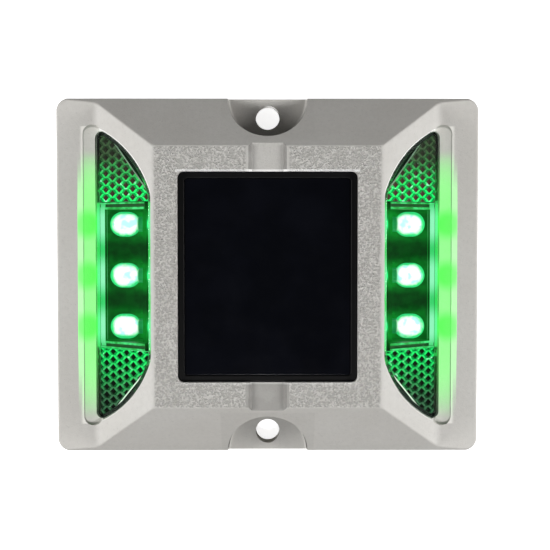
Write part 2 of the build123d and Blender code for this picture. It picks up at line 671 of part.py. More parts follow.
def make_battery_cradle():
    half_y = CRADLE_LENGTH / 2
    x0, x1 = BATTERY_WEST_X - CRADLE_REACH, BATTERY_EAST_X + CRADLE_REACH
    cradle = block(x0, x1, -half_y, half_y, PLATE_T, BATTERY_Z - 2)
    cradle -= block(x0 + 3, x1 - 3, -8, 8, PLATE_T, BATTERY_Z)
    for x in (BATTERY_WEST_X, BATTERY_EAST_X):
        cradle -= rod_y(BATTERY_R + 0.1, x, -half_y, half_y, BATTERY_Z)
    return cradle


def make_battery_pad():
    """The foam between the cells and the solar panel's backing board."""
    low_z = BATTERY_Z + BATTERY_R + PAD_GAP
    half_y = PAD_LENGTH / 2
    return block(*PAD_X, -half_y, half_y, low_z, BACKING_Z - PAD_GAP)


def make_panel_wire(y):
    return wire([(-0.5, y, BACKING_Z), (1.5, y, 15.0), (4.0, y, BOARD_TOP_Z)], DOWN, DOWN)


def make_battery_wire_red():
    start, end = (BATTERY_WEST_X, TAB_Y, BATTERY_Z), (4, 18.5, BOARD_TOP_Z)
    return wire([start, (-14, 27.5, 10.5), (-3, 26, 14), end], (0, 1, 0), DOWN)


def make_battery_wire_black():
    start, end = (BATTERY_EAST_X, TAB_Y, BATTERY_Z), (4, 15.5, BOARD_TOP_Z)
    return wire([start, (-6, 24.5, 11.5), (-1, 21, 14), end], (0, 1, 0), DOWN)


def make_led_wires_east():
    return group([
        wire([(26.5, y, BOARD_TOP_Z), (28.5, y, 13.8), (LED_BOARD_X[0], y, 12.6)], UP, (1, 0, 0))
        for y in (4.0, 6.5)
    ])


def make_led_wires_west():
    return group([
        wire([
            (4.0, -15.0 - shift, BOARD_TOP_Z), (-1.5, -22.5 - shift, 14.2), (-14, -26.5 - shift, 13.0),
            (-27.5, -19.0 - shift, 13.2), (-LED_BOARD_X[0], -8.0 - shift, 12.6),
        ], UP, (-1, 0, 0))
        for shift in (0.0, 2.5)
    ])


# ---------------------------------------------------------------- push button
def make_switch_seal():
    ring = disc(SWITCH_FLANGE_R - 0.3, BUTTON_X, BUTTON_Y, PLATE_T, SWITCH_Z)
    return ring - disc(BUTTON_R + 0.4, BUTTON_X, BUTTON_Y, PLATE_T, SWITCH_Z)


def make_switch_body():
    body = disc(SWITCH_FLANGE_R, BUTTON_X, BUTTON_Y, SWITCH_Z, SWITCH_LIP_Z)
    body += disc(SWITCH_R, BUTTON_X, BUTTON_Y, SWITCH_LIP_Z, SWITCH_TOP_Z)
    body -= disc(SWITCH_BORE_R, BUTTON_X, BUTTON_Y, SWITCH_LIP_Z, SWITCH_CEILING_Z)
    body -= disc(BUTTON_R + BUTTON_RUN, BUTTON_X, BUTTON_Y, SWITCH_Z, SWITCH_LIP_Z)
    for side in (1, -1):
        body += disc(PIN_R, BUTTON_X + side * PIN_X, BUTTON_Y, SWITCH_TOP_Z - 0.5, PIN_TOP_Z)
    return body


def make_push_button():
    cap = disc(BUTTON_R, BUTTON_X, BUTTON_Y, BUTTON_FACE_Z, FLANGE_Z)
    cap = fillet(cap.edges().sort_by(Axis.Z)[0], 0.5)
    cap += disc(FLANGE_R, BUTTON_X, BUTTON_Y, FLANGE_Z, FLANGE_TOP_Z)
    return cap + disc(STEM_R, BUTTON_X, BUTTON_Y, FLANGE_TOP_Z, STEM_TOP_Z)


def make_button_spring():
    gap = SPRING_WIRE_R + 0.01
    height = SWITCH_CEILING_Z - FLANGE_TOP_Z - 2 * gap
    coil = Helix(height / SPRING_TURNS, height, SPRING_R)
    start = Plane(origin=coil @ 0, z_dir=coil % 0)
    spring = sweep(start * Circle(SPRING_WIRE_R), path=coil, is_frenet=True)
    return Pos(BUTTON_X, BUTTON_Y, FLANGE_TOP_Z + gap) * spring


# ---------------------------------------------------------------- assembly
def make_parts():
    parts = {
        "housing": make_housing(),
        "base_plate": make_base_plate(),
        "base_gasket": make_base_gasket(),
        "base_screws": make_base_screws(),
        "panel_seal": make_panel_seal(),
        "solar_cover": make_solar_cover(),
        "solar_cells": make_solar_cells(),
        "solar_ribbons": make_solar_ribbons(),
        "solar_backing": module_layer(0.05, BACKING_Z, BACKING_TOP_Z),
        "control_board": make_control_board(),
        "board_screws": make_board_screws(),
        "controller_chip": make_controller_chip(),
        "storage_inductor": make_storage_inductor(),
        "inductor_winding": make_inductor_winding(),
        "board_capacitor": make_board_capacitor(),
        "diodes": make_diodes(),
        "chip_parts": make_chip_parts(),
        "battery_west": make_battery(BATTERY_WEST_X, 1),
        "battery_east": make_battery(BATTERY_EAST_X, -1),
        "battery_tabs": make_battery_tabs(),
        "battery_cradle": make_battery_cradle(),
        "battery_pad": make_battery_pad(),
        "panel_wire_red": make_panel_wire(10.5),
        "panel_wire_black": make_panel_wire(8.0),
        "battery_wire_red": make_battery_wire_red(),
        "battery_wire_black": make_battery_wire_black(),
        "led_wires_east": make_led_wires_east(),
        "led_wires_west": make_led_wires_west(),
        "switch_seal": make_switch_seal(),
        "switch_body": make_switch_body(),
        "push_button": make_push_button(),
        "button_spring": make_button_spring(),
    }
    east_side = {
        "lens": make_lens(),
        "lens_seal": make_lens_seal(),
        "reflector_north": make_reflector(1),
        "reflector_south": make_reflector(-1),
        "led_holder": make_led_holder(),
        "led_legs": make_led_legs(),
        "led_board": make_led_board(),
    }
    for place, y in LED_SITES.items():
        east_side[f"led_{place}"] = make_led(y)
    for name, part in east_side.items():
        parts[f"{name}_east"] = part
        parts[f"{name}_west"] = west(part)
    return parts


os.makedirs("parts", exist_ok=True)
for name, part in make_parts().items():
    export_step(part, f"parts/{name}.step")
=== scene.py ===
import math

import bmesh
import bpy
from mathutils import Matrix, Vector


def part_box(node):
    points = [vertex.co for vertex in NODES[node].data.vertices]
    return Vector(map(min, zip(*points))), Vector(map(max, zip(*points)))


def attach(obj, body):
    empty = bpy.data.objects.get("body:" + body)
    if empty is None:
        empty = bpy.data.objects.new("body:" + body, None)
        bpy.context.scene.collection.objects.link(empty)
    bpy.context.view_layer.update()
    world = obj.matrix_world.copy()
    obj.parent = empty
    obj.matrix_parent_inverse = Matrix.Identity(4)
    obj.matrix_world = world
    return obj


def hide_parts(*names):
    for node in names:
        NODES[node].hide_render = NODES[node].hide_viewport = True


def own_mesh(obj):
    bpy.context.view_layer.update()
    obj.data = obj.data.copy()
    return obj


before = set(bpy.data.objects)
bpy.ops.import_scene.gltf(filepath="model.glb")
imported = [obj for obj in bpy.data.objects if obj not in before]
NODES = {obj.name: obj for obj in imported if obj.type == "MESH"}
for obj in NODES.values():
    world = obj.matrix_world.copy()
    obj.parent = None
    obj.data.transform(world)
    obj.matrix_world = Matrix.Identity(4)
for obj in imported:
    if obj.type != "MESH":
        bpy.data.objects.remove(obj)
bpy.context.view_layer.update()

MM = 0.001
SIDES = ("east", "west")

# Places in millimetres. The first ones are read from the CAD boxes, and the rest are distances from the
# stud's centre, across it (X) or along it (Y), where the materials draw something.


def box_mm(node):
    low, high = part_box(node)
    return [c / MM for c in low], [c / MM for c in high]


LED_START = box_mm("led_middle_east")[0][0]     # where an LED's flange begins
LED_SITES = [
    (box_mm(f"led_{place}_east")[0][1] + box_mm(f"led_{place}_east")[1][1]) / 2
    for place in ("south", "middle", "north")
]
HOUSING_TOP = box_mm("housing")[1][2]
LENS_ARC = Vector((32.8, 23.2)), Vector((38.4, 33.8)), Vector((50.0, 42.8))   # a lens's curved side
CHAMBER_END = 19.15          # half length of the LED chamber
RIB_GROOVE = (19.8, 20.7)    # the groove along each of its end ribs
GRAIN_REACH = (32.4, 37.7)   # how far the plateau's grain reaches
BAND_HALF = 6.2              # half width of the smooth band around a drain channel
BAND_START = 29.0            # where that band starts, next to the panel
SILL_HIGHLIGHT_END = 30.15             # where the painted highlight along the panel's window ends
PALE_SPAN = (48.9, 54.6)     # where the painted pale light before a lens starts and ends
PALE_END = 43.4              # half length of that pale light
GLOW_EDGE = 55.2             # how far out the painted green light reaches
GLOW_MIDDLE = 52.4           # where it is brightest


# ---------------------------------------------------------------- node helpers
class Tree:
    """A small wrapper that builds a material's nodes by short calls. Lengths are in millimetres."""

    def __init__(self, name):
        self.mat = bpy.data.materials.new(name)
        self.mat.use_nodes = True
        self.nt = self.mat.node_tree
        self.nt.nodes.clear()
        self.out = self.nt.nodes.new("ShaderNodeOutputMaterial")
        geometry = self.nt.nodes.new("ShaderNodeNewGeometry")
        self.geometry = geometry
        place = self.nt.nodes.new("ShaderNodeTexCoord")
        scaled = self.nt.nodes.new("ShaderNodeVectorMath")
        scaled.operation = "SCALE"
        scaled.inputs["Scale"].default_value = 1 / MM
        self.nt.links.new(place.outputs["Object"], scaled.inputs[0])
        self.point = scaled.outputs[0]
        split = self.nt.nodes.new("ShaderNodeSeparateXYZ")
        self.nt.links.new(self.point, split.inputs[0])
        self.x, self.y, self.z = split.outputs

    def link(self, value, socket):
        """Feeds a socket with another socket, a number or a colour."""
        if isinstance(value, bpy.types.NodeSocket):
            self.nt.links.new(value, socket)
        elif isinstance(value, (tuple, list)) and len(value) == 3 and socket.type == "RGBA":
            socket.default_value = (*value, 1.0)
        else:
            socket.default_value = value

    def math(self, operation, a, b=0.0, c=None):
        node = self.nt.nodes.new("ShaderNodeMath")
        node.operation = operation
        self.link(a, node.inputs[0])
        self.link(b, node.inputs[1])
        if c is not None:
            self.link(c, node.inputs[2])
        return node.outputs[0]

    def between(self, value, low, high, to_low=0.0, to_high=1.0):
        """A smooth step of the value from low to high."""
        node = self.nt.nodes.new("ShaderNodeMapRange")
        node.interpolation_type = "SMOOTHSTEP"
        self.link(value, node.inputs["Value"])
        for name, number in (("From Min", low), ("From Max", high), ("To Min", to_low), ("To Max", to_high)):
            self.link(number, node.inputs[name])
        return node.outputs["Result"]

    def mix(self, share, a, b):
        """A colour between a and b."""
        node = self.nt.nodes.new("ShaderNodeMix")
        node.data_type = "RGBA"
        self.link(share, node.inputs["Factor"])
        self.link(a, node.inputs[6])
        self.link(b, node.inputs[7])
        return node.outputs[2]

    def noise(self, size, detail=2.0, rough=0.5, place=None):
        """Noise whose blobs are about size millimetres across."""
        node = self.nt.nodes.new("ShaderNodeTexNoise")
        node.inputs["Scale"].default_value = 1.0 / size
        node.inputs["Detail"].default_value = detail
        node.inputs["Roughness"].default_value = rough
        self.link(place or self.point, node.inputs["Vector"])
        return node.outputs["Fac"]

    def facing(self):
        """The surface's own direction, as X, Y and Z parts."""
        node = self.nt.nodes.new("ShaderNodeSeparateXYZ")
        self.link(self.geometry.outputs["True Normal"], node.inputs[0])
        return node.outputs

    def product(self, *factors):
        result = factors[0]
        for factor in factors[1:]:
            result = self.math("MULTIPLY", result, factor)
        return result

    def inverse(self, mask):
        """1 where the mask is 0, and 0 where it is 1."""
        return self.math("SUBTRACT", 1.0, mask)

    def lift(self, base, mask, rise):
        """The base, raised by a share of the mask."""
        return self.math("ADD", base, self.product(mask, rise))

    def by_half(self, south, north):
        """One number on the south half of the object and another on the north half."""
        return self.between(self.y, -1.0, 1.0, south, north)

    def bump(self, height, depth, strength=1.0, normal=None):
        """A bump from a height of 0 to 1 that stands for the given depth in millimetres."""
        node = self.nt.nodes.new("ShaderNodeBump")
        node.inputs["Distance"].default_value = depth * MM
        self.link(strength, node.inputs["Strength"])
        self.link(height, node.inputs["Height"])
        if normal is not None:
            self.link(normal, node.inputs["Normal"])
        return node.outputs["Normal"]

    def surface(self, **values):
        """A Principled surface; a name's underscores stand for spaces."""
        node = self.nt.nodes.new("ShaderNodeBsdfPrincipled")
        for name, value in values.items():
            self.link(value, node.inputs[name.replace("_", " ")])
        self.nt.links.new(node.outputs["BSDF"], self.out.inputs["Surface"])
        return node.outputs["BSDF"]

    def finish(self, shader):
        self.nt.links.new(shader, self.out.inputs["Surface"])
        return self.mat


def paint(material, *names):
    """Gives CAD nodes a material."""
    for name in names:
        node = NODES[name]
        node.data.materials.clear()
        node.data.materials.append(material)


def side_names(name):
    return [f"{name}_{side}" for side in SIDES]


# ---------------------------------------------------------------- housing
def away_from_leds(t):
    """Distance along Y, in millimetres, to the nearest LED."""
    nearest = None
    for y in LED_SITES:
        gap = t.math("ABSOLUTE", t.math("SUBTRACT", t.y, y))
        nearest = gap if nearest is None else t.math("MINIMUM", nearest, gap)
    return nearest


def beyond_lens_arc(t):
    """Distance from the lens's curved side, in millimetres, positive outside the lens."""
    a, b, c = LENS_ARC
    turn = 2 * ((b - a).x * (c - a).y - (b - a).y * (c - a).x)
    ab, ac = (b - a).length_squared, (c - a).length_squared
    centre = a + Vector(((c - a).y * ab - (b - a).y * ac, (b - a).x * ac - (c - a).x * ab)) / turn
    from_x = t.math("SUBTRACT", t.math("ABSOLUTE", t.x), centre.x)
    from_y = t.math("SUBTRACT", t.math("ABSOLUTE", t.y), centre.y)
    squares = t.math("ADD", t.math("MULTIPLY", from_x, from_x), t.math("MULTIPLY", from_y, from_y))
    return t.math("SUBTRACT", t.math("SQRT", squares), (a - centre).length)


def lens_brim_highlight(t, across, along):
    """A mask on the painted highlight along the bright edge of the housing around a lens's curved side; 1 in
    the north.
    """
    gap = beyond_lens_arc(t)
    return t.product(
        t.between(gap, 0.40, 0.30), t.between(gap, -0.4, -0.3),
        t.between(across, 49.6, 48.6), t.between(along, 22.5, 25.0), t.by_half(0.25, 1.0),
    )


def panel_sill_highlight(t, across, along):
    """A mask on the painted highlight along the housing's window edge at the panel's ends; 1 in the north.
    """
    return t.product(
        t.between(along, SILL_HIGHLIGHT_END, SILL_HIGHLIGHT_END - 0.2), t.between(along, 29.3, 29.4),
        t.between(across, 26.0, 25.5),
        t.between(t.z, HOUSING_TOP - 2.2, HOUSING_TOP - 2.0), t.by_half(0.25, 1.0),
    )


def pocket_wall_shadow(t, across, along):
    """A mask for the painted shadow on the upright walls of the bolt pockets; strongest in the south."""
    upright = t.between(t.facing()[2], 0.75, 0.55)
    return t.product(
        upright, t.between(along, 38.0, 38.5), t.between(along, 51.0, 50.8),
        t.between(across, 13.5, 13.2), t.between(t.z, 5.5, 6.5), t.by_half(0.85, 0.3),
    )


def channel_wall_shade(t, across):
    """A mask for painted shade on the side walls of the drain channels, which lead from the panel to the
    bolt pockets.
    """
    side_on = t.between(t.math("ABSOLUTE", t.facing()[0]), 0.5, 0.7)
    return t.product(
        side_on, t.between(across, BAND_HALF + 0.3, BAND_HALF - 0.2),
        t.between(t.z, HOUSING_TOP - 2.0, HOUSING_TOP - 1.0),
    )


def painted_shelf_light(t, across, along):
    """The painted light on the sunk shelf before a lamp: a green share from the LEDs, and where the rest
    glows pale.
    """
    inner, outer = PALE_SPAN
    strip = t.product(t.between(across, GLOW_EDGE, GLOW_EDGE - 0.3), t.between(across, inner, inner + 0.5))
    reach = t.product(t.between(t.y, 37.0, 18.0), t.between(t.y, -43.0, -17.0))
    sunk = t.product(t.between(across, outer, outer - 1.2), t.between(along, PALE_END, PALE_END - 0.4))
    pale = t.product(t.math("MAXIMUM", sunk, reach), strip, t.between(t.facing()[2], 0.7, 0.9))
    aside = away_from_leds(t)
    ahead = t.math("SUBTRACT", across, GLOW_MIDDLE)
    off_axis = t.math("SQRT", t.math("ADD", t.product(aside, aside), t.product(ahead, ahead)))
    lobe = t.between(off_axis, 5.6, 1.8)
    close = t.between(across, 57.0, 49.5)
    green = t.product(t.lift(0.24, lobe, 0.72), reach, strip, t.lift(0.72, close, 0.28))
    return green, pale


def housing_material():
    """A cast, painted shell: grained on its plateau, with painted highlights along edges, painted shade in
    channels and pockets, and painted green light on its shelves.
    """
    t = Tree("cast_housing")
    across = t.math("ABSOLUTE", t.x)
    along = t.math("ABSOLUTE", t.y)
    level = t.product(
        t.between(t.facing()[2], 0.95, 0.98), t.between(t.z, HOUSING_TOP - 1.1, HOUSING_TOP - 0.95),
    )
    band = t.product(
        t.between(across, BAND_HALF, BAND_HALF - 0.3), t.between(along, BAND_START, BAND_START + 0.2),
    )
    reach_x, reach_y = GRAIN_REACH
    plateau = t.product(
        level, t.between(across, reach_x, reach_x - 1.4), t.between(along, reach_y, reach_y - 0.4),
        t.inverse(t.product(band, 0.85)),
    )

    pebbles = t.between(t.noise(0.54, 2.0, 0.55), 0.34, 0.66)
    coarse = t.bump(pebbles, 0.34, plateau)
    fine = t.bump(t.noise(0.42, 3.0, 0.6), 0.10, 0.6, coarse)
    normal = t.bump(t.noise(9.0, 1.0), 0.10, 0.35, fine)

    patch = t.between(t.noise(22.0, 3.0), 0.3, 0.7)
    colour = t.mix(patch, (0.590, 0.571, 0.537), (0.620, 0.604, 0.572))
    mottle = t.between(t.noise(1.3, 3.0), 0.3, 0.7, 0.0, 0.12)
    colour = t.mix(mottle, colour, (0.40, 0.388, 0.365))
    grained = t.mix(t.between(pebbles, 0.0, 0.9), (0.435, 0.423, 0.397), (0.640, 0.623, 0.590))
    colour = t.mix(plateau, colour, grained)
    # Painted shade on the smooth band around the drain channels at the plateau's level, darker in the south.
    shade = t.product(band, level, t.by_half(0.85, 0.25))
    colour = t.mix(shade, colour, (0.30, 0.291, 0.274))
    speck = t.between(t.noise(0.55, 1.0), 0.28, 0.36, 0.88, 1.0)
    colour = t.mix(speck, (0.16, 0.155, 0.145), colour)
    # Painted shade on the drain channels' side walls.
    colour = t.mix(t.product(channel_wall_shade(t, across), 0.8), colour, (0.12, 0.115, 0.105))
    # Painted shadow on the bolt pockets' upright walls.
    colour = t.mix(pocket_wall_shadow(t, across, along), colour, (0.06, 0.058, 0.052))
    # Painted highlight along the window's edge at the panel's ends, stronger in the north.
    colour = t.mix(t.product(panel_sill_highlight(t, across, along), 0.9), colour, (1.0, 0.99, 0.97))
    # Painted highlight around each lens's curved side, stronger in the north.
    colour = t.mix(t.product(lens_brim_highlight(t, across, along), 0.85), colour, (1.0, 0.99, 0.96))
    rub = t.between(t.product(t.z, t.noise(5.0, 4.0)), 11.0, 15.0, 0.0, 0.10)
    colour = t.mix(rub, colour, (0.66, 0.65, 0.63))

    # Painted light on the shelves: a green tint and green glow from the LEDs, and a grey glow on the pale
    # part.
    green, pale = painted_shelf_light(t, across, along)
    colour = t.mix(green, colour, (0.06, 0.50, 0.06))
    hue = t.math("DIVIDE", green, t.math("ADD", green, 0.05))
    shine = t.mix(hue, (0.25, 0.245, 0.23), (0.10, 0.95, 0.09))
    strength = t.lift(t.product(green, 0.78), pale, t.inverse(green))
    rough = t.between(t.noise(1.4, 3.0), 0.3, 0.7, 0.48, 0.62)
    t.surface(
        Base_Color=colour, Roughness=rough, Normal=normal, Specular_IOR_Level=0.4,
        Emission_Color=shine, Emission_Strength=strength,
    )
    return t.mat


# ---------------------------------------------------------------- solar panel
def cover_material():
    t = Tree("panel_cover")
    patch = t.noise(14.0, 3.0)
    colour = t.mix(t.between(patch, 0.35, 0.65), (0.0022, 0.0025, 0.0040), (0.0032, 0.0036, 0.0058))
    smear = t.between(t.noise(6.0, 4.0), 0.35, 0.7, 0.10, 0.22)
    normal = t.bump(t.noise(7.0, 2.0), 0.02, 0.15)
    t.surface(Base_Color=colour, Roughness=smear, Specular_IOR_Level=0.10, Normal=normal)
    return t.mat


def panel_seal_material():
    t = Tree("panel_seal")
    colour = t.mix(t.noise(3.0, 3.0), (0.0030, 0.0030, 0.0032), (0.0048, 0.0048, 0.0050))
    normal = t.bump(t.noise(1.8, 3.0), 0.05, 0.4)
    t.surface(Base_Color=colour, Roughness=0.45, Specular_IOR_Level=0.12, Normal=normal)
    return t.mat


# ---------------------------------------------------------------- plain finishes
def moulded(name, colour, rough=0.5, grain=0.5, depth=0.02, spread=0.15, **extra):
    """A moulded or coated finish: a colour that varies a little, with a fine grain."""
    t = Tree(name)
    dark = tuple(c * (1 - spread) for c in colour)
    light = tuple(min(1.0, c * (1 + spread)) for c in colour)
    tone = t.mix(t.between(t.noise(6.0, 4.0), 0.3, 0.7), dark, light)
    roughness = t.between(t.noise(2.2, 3.0), 0.3, 0.7, rough * 0.85, min(1.0, rough * 1.15))
    normal = t.bump(t.noise(grain, 2.0), depth, 0.6)
    t.surface(Base_Color=tone, Roughness=roughness, Normal=normal, **extra)
    return t.mat


def metal(name, colour, rough=0.3, grain=0.6):
    return moulded(name, colour, rough, grain, 0.01, 0.10, Metallic=1.0)


def paint_plain_parts():
    rubber = moulded("seal_rubber", (0.012, 0.013, 0.012), 0.7, 0.35, 0.03)
    paint(rubber, "base_gasket", "switch_seal")
    paint(moulded("base_plate", (0.040, 0.041, 0.044), 0.55, 0.45, 0.04), "base_plate")
    paint(metal("zinc_steel", (0.58, 0.58, 0.56), 0.32), "base_screws", "board_screws")
    board = moulded("circuit_board", (0.010, 0.110, 0.040), 0.35, 1.6, 0.02, 0.25)
    paint(board, "control_board", *side_names("led_board"))
    paint(moulded("backing_board", (0.012, 0.012, 0.015), 0.5, 0.5), "solar_backing")
    paint(moulded("solar_cell", (0.004, 0.006, 0.020), 0.2, 0.4, 0.01, 0.5), "solar_cells")
    tinned = metal("tinned_copper", (0.70, 0.68, 0.64), 0.25)
    paint(tinned, "solar_ribbons", "battery_tabs", *side_names("led_legs"))
    paint(moulded("chip_plastic", (0.016, 0.016, 0.018), 0.6, 0.3, 0.02), "controller_chip", "diodes")
    paint(moulded("ferrite", (0.05, 0.05, 0.055), 0.75, 0.3, 0.05), "storage_inductor")
    paint(metal("enamelled_copper", (0.75, 0.30, 0.12), 0.25), "inductor_winding")
    paint(metal("capacitor_can", (0.72, 0.73, 0.75), 0.28), "board_capacitor")
    paint(moulded("chip_parts", (0.24, 0.18, 0.12), 0.5, 0.4), "chip_parts")
    paint(moulded("battery_sleeve", (0.02, 0.17, 0.06), 0.28, 1.2, 0.03), "battery_west", "battery_east")
    paint(moulded("cradle_plastic", (0.07, 0.07, 0.075), 0.55, 0.4, 0.03), "battery_cradle")
    paint(moulded("foam", (0.045, 0.045, 0.05), 0.95, 0.5, 0.25, 0.35), "battery_pad")
    paint(moulded("wire_red", (0.45, 0.010, 0.010), 0.35, 0.8), "panel_wire_red", "battery_wire_red")
    paint(moulded("wire_black", (0.010, 0.010, 0.010), 0.4, 0.8), "panel_wire_black", "battery_wire_black")
    paint(moulded("wire_green", (0.010, 0.220, 0.040), 0.35, 0.8), *side_names("led_wires"))
    paint(moulded("switch_plastic", (0.020, 0.020, 0.024), 0.5, 0.4), "switch_body")
    paint(moulded("button_rubber", (0.36, 0.022, 0.018), 0.6, 0.35, 0.04), "push_button")
    paint(metal("spring_steel", (0.60, 0.60, 0.60), 0.22), "button_spring")


# ---------------------------------------------------------------- lamps
def beside_leds(t):
    """1 next to an LED, falling to 0 half way to the next one."""
    return t.between(away_from_leds(t), 7.2, 1.5)


def holder_material():
    """The dark tray, with painted LED light: its upper edges and ribs glow bright, and the rest glows a dim,
    deep green.
    """
    t = Tree("holder_plastic")
    across = t.math("ABSOLUTE", t.x)
    along = t.math("ABSOLUTE", t.y)
    # Painted light: the tray glows green where the LEDs' light would fall, with a paler painted highlight
    # along its front edge.
    upward = t.between(t.facing()[2], 0.2, 0.5)
    near = beside_leds(t)
    front = t.between(across, 47.2, 47.5)
    strip = t.product(front, upward, t.lift(0.78, near, 0.30))
    groove = t.product(
        t.between(along, RIB_GROOVE[0] - 0.05, RIB_GROOVE[0] + 0.05),
        t.between(along, RIB_GROOVE[1] + 0.05, RIB_GROOVE[1] - 0.05),
    )
    rib = t.product(t.between(along, CHAMBER_END - 0.1, CHAMBER_END + 0.05), t.inverse(groove), upward)
    ends = t.product(rib, t.between(t.noise(2.0, 2.0), 0.3, 0.7, 0.45, 0.95))
    aside = away_from_leds(t)
    dim = t.between(t.noise(2.4, 2.0), 0.3, 0.7, 0.040, 0.075)
    bed = t.product(dim, t.lift(1.0, t.between(aside, 6.4, 3.0), 1.9))
    behind = t.product(t.between(aside, 5.0, 2.0), t.between(across, 40.5, 36.5))
    glow = t.math("MAXIMUM", t.math("MAXIMUM", strip, ends), t.lift(bed, behind, 0.16))
    colour = t.mix(t.between(glow, 0.3, 1.0), (0.005, 0.80, 0.065), (0.09, 1.0, 0.30))
    colour = t.mix(t.product(front, upward, near), colour, (0.36, 1.0, 0.62))
    t.surface(
        Base_Color=(0.002, 0.022, 0.006), Roughness=0.4, Specular_IOR_Level=0.12,
        Emission_Color=colour, Emission_Strength=glow, Normal=t.bump(t.noise(0.8), 0.03, 0.4),
    )
    return t.mat


def lens_seal_material():
    """Black rubber with painted green light where it borders the lit chamber, and painted flecks of green
    light further out.
    """
    t = Tree("lens_seal_rubber")
    along = t.math("ABSOLUTE", t.y)
    near = beside_leds(t)
    lit = t.product(t.between(along, 21.6, 20.8), t.lift(0.95, near, 0.15))
    dashes = t.product(t.between(t.noise(1.6, 1.0), 0.55, 0.62), t.between(along, 36.0, 20.0, 0.0, 0.6))
    glow = t.math("MAXIMUM", lit, t.lift(dashes, t.between(along, 34.0, 21.0), 0.10))
    t.surface(
        Base_Color=(0.008, 0.012, 0.009), Roughness=0.55, Specular_IOR_Level=0.2,
        Emission_Color=t.mix(near, (0.04, 0.85, 0.14), (0.16, 0.98, 0.38)), Emission_Strength=glow,
        Normal=t.bump(t.noise(0.5), 0.03, 0.4),
    )
    return t.mat


def led_material():
    """A lit LED: a white-hot bulb with a green edge, on a dim neck and flange, with a painted highlight on
    the neck.
    """
    t = Tree("led_green")
    facing = t.nt.nodes.new("ShaderNodeLayerWeight")
    facing.inputs["Blend"].default_value = 0.5
    across = t.math("ABSOLUTE", t.x)
    bulb = t.between(across, LED_START + 3.5, LED_START + 4.3)
    inner = t.between(t.noise(2.6, 2.0), 0.32, 0.68, 0.80, 0.50)
    core = t.product(t.between(facing.outputs["Facing"], inner, 0.16), bulb)
    cloud = t.between(t.noise(2.4, 1.0), 0.36, 0.50)
    white = t.mix(cloud, (0.52, 1.0, 0.93), (1.0, 1.0, 1.0))
    colour = t.mix(core, (0.04, 0.80, 0.26), white)
    glow = t.lift(0.22, bulb, t.lift(0.7, core, 0.6))
    # Painted highlight on the neck, next to the LED's axis.
    neck = t.product(
        t.between(across, LED_START + 2.8, LED_START + 1.2), t.between(away_from_leds(t), 1.9, 0.4),
    )
    t.surface(
        Base_Color=(0.02, 0.30, 0.08), Roughness=0.12,
        Emission_Color=colour, Emission_Strength=t.lift(glow, neck, 1.6),
    )
    return t.mat


def lens_material():
    """Clear moulding: what lies behind it shows through, with a mirror sheen that grows at a slant."""
    t = Tree("lens_clear")
    clear = t.nt.nodes.new("ShaderNodeBsdfTransparent")
    clear.inputs["Color"].default_value = (0.86, 0.93, 0.88, 1.0)
    sheen = t.nt.nodes.new("ShaderNodeBsdfGlossy")
    sheen.inputs["Roughness"].default_value = 0.06
    sheen.inputs["Color"].default_value = (0.9, 0.95, 0.92, 1.0)
    t.link(t.bump(t.noise(3.0, 2.0), 0.02, 0.2), sheen.inputs["Normal"])
    angle = t.nt.nodes.new("ShaderNodeFresnel")
    angle.inputs["IOR"].default_value = 1.49
    outside = t.inverse(t.geometry.outputs["Backfacing"])
    mixed = t.nt.nodes.new("ShaderNodeMixShader")
    t.link(t.product(angle.outputs[0], outside, 0.6), mixed.inputs[0])
    t.link(clear.outputs[0], mixed.inputs[1])
    t.link(sheen.outputs[0], mixed.inputs[2])
    return t.finish(mixed.outputs[0])


def prism_material(name, pit):
    """Moulded prisms with painted light: green with the LEDs' light next to the chamber, brighter on faces
    turned to it and in the north, with painted glints, and dark at the lens's tip.
    """
    t = Tree(name)
    away = t.math("ABSOLUTE", t.y)
    wander = t.product(t.math("SUBTRACT", t.noise(5.0, 2.0), 0.5), 9.0)
    near = t.between(t.math("ADD", away, wander), 36.0, 22.0)
    north = t.by_half(0.0, 1.0)
    # Painted light: lit and dark copies of the colour, by distance from the chamber and by which way a face
    # turns; the north half takes other tones.
    if pit:
        lit = t.mix(north, (0.004, 0.014, 0.005), (0.095, 0.045, 0.040))
        dark = t.mix(north, (0.003, 0.005, 0.003), (0.030, 0.032, 0.022))
        facet = t.between(t.facing()[0], -0.5, 0.5, 0.5, 1.3)
        strength = t.product(facet, 0.8)
        colour = t.mix(near, dark, lit)
    else:
        toward = t.product(t.facing()[1], t.by_half(1.0, -1.0))
        facet = t.between(toward, -0.25, 0.30)
        lit = t.mix(facet, (0.000, 0.33, 0.065), (0.02, 0.88, 0.18))
        dark = t.mix(north, t.mix(facet, (0.008, 0.040, 0.016), (0.050, 0.150, 0.075)),
                     t.mix(facet, (0.024, 0.044, 0.022), (0.055, 0.090, 0.045)))
        painted_glint = t.product(t.between(t.noise(1.7, 1.0), 0.60, 0.68), facet, near)
        lit = t.mix(painted_glint, lit, (0.45, 1.0, 0.72))
        colour = t.mix(near, dark, lit)
        strength = t.by_half(1.0, 1.2)
    t.surface(
        Base_Color=t.mix(0.7, colour, (0.0, 0.0, 0.0)), Roughness=0.22, Specular_IOR_Level=0.3,
        Emission_Color=colour, Emission_Strength=strength, Normal=t.bump(t.noise(0.5), 0.02, 0.4),
    )
    return t.mat


def ledge_material():
    """The smooth ledge between the prisms and the lens's curved side, with painted green light glowing next
    to the chamber.
    """
    t = Tree("prism_ledge")
    away = t.math("ABSOLUTE", t.y)
    near = t.between(away, 33.0, 22.0)
    colour = t.mix(near, (0.005, 0.010, 0.006), (0.002, 0.070, 0.012))
    t.surface(
        Base_Color=(0.004, 0.012, 0.006), Roughness=0.18, Specular_IOR_Level=0.4,
        Emission_Color=colour, Emission_Strength=1.0, Normal=t.bump(t.noise(1.2), 0.02, 0.4),
    )
    return t.mat


